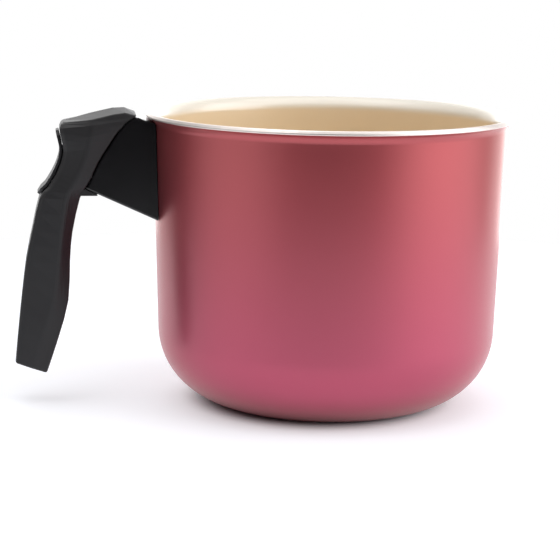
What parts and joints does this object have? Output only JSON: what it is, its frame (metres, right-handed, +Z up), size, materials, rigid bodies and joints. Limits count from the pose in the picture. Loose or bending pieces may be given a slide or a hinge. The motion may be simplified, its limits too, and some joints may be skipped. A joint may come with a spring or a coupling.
{
  "type": "milk pan",
  "caption": "Round, slightly tapered pan pressed from one sheet, with a flared pouring rim and a fixed jug handle that drops down beside its wall.",
  "frame": {"origin": "centre of the pan's base, on the surface that it stands on", "axes": "+Z up along the pan's axis, -X from the axis towards the handle, +Y completes the right-handed set; the part is symmetric about the plane y = 0"},
  "size_m": [0.2026, 0.1496, 0.1205],
  "materials": {
    "red_pearl_enamel": "coral red metallic enamel outside, warm cream ceramic coating inside, bare aluminium on the cut edge and the underside",
    "soft_touch_black": "soft-touch black, satin",
    "moulded_black": "heat-resistant moulded black, satin",
    "bare_aluminium": "as turned",
    "zinc_steel": "zinc plated"
  },
  "bodies": {
    "root": {"pan_body": "red_pearl_enamel", "grip": "soft_touch_black", "thumb_rest": "soft_touch_black", "handle_base": "moulded_black", "threaded_boss": "bare_aluminium", "locating_pin": "bare_aluminium", "fixing_screw": "zinc_steel", "flat_washer": "zinc_steel", "spring_washer": "zinc_steel"}
  },
  "joints": []
}
